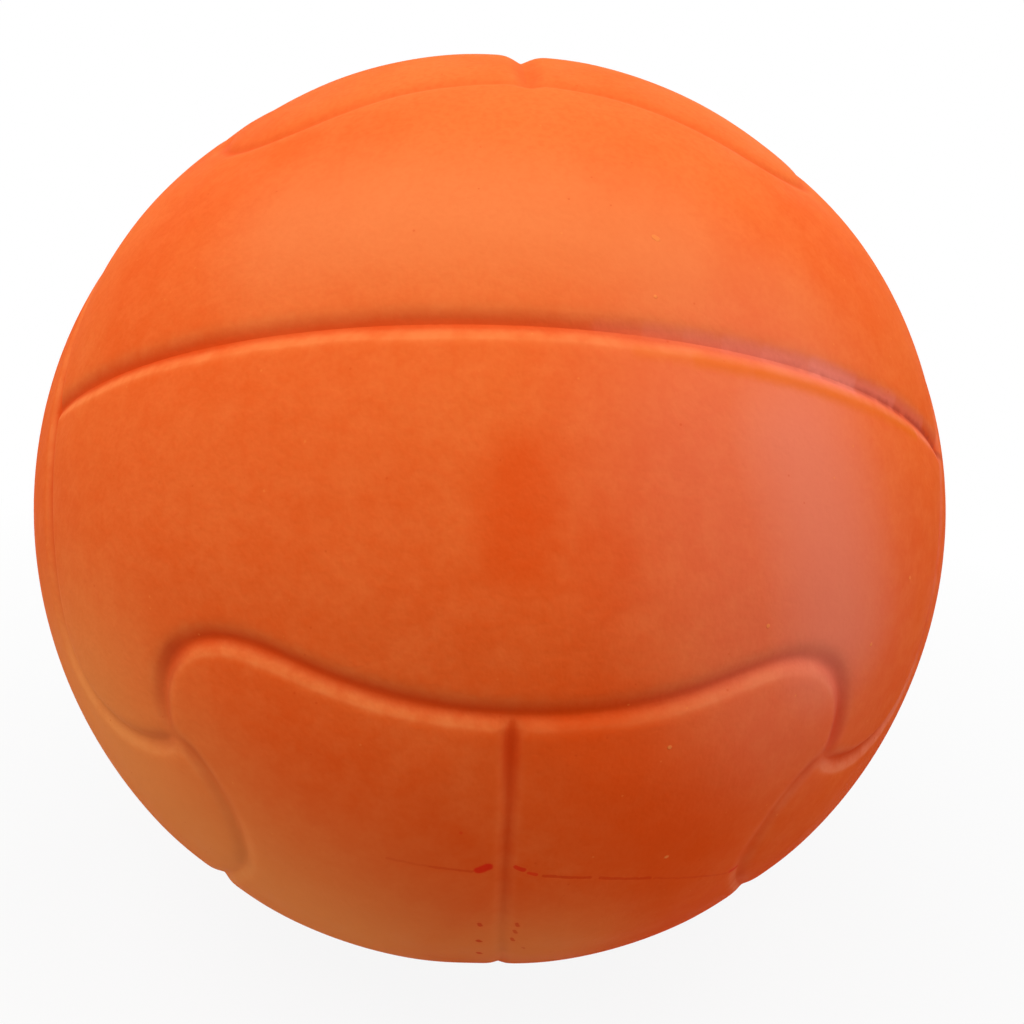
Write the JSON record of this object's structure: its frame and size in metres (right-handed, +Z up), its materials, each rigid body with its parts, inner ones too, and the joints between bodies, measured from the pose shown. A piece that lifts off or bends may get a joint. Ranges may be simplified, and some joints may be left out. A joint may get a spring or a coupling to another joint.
{
  "type": "moulded foam ball",
  "caption": "Soft moulded foam ball for children's play, with a wavy panel pattern pressed into its orange skin.",
  "frame": {"origin": "centre of the ball", "axes": "+Z up as the ball lies in the picture, -Y towards the viewer. The panel pattern is turned 30 degrees about X: the front face's middle points up by 30 degrees from -Y."},
  "size_m": [0.1992, 0.1994, 0.199],
  "materials": {
    "skin": "satin moulded foam skin",
    "foam": "open soft foam"
  },
  "bodies": {
    "root": {"skin_upper_half": "skin", "skin_lower_half": "skin", "foam_core": "foam"}
  },
  "joints": []
}
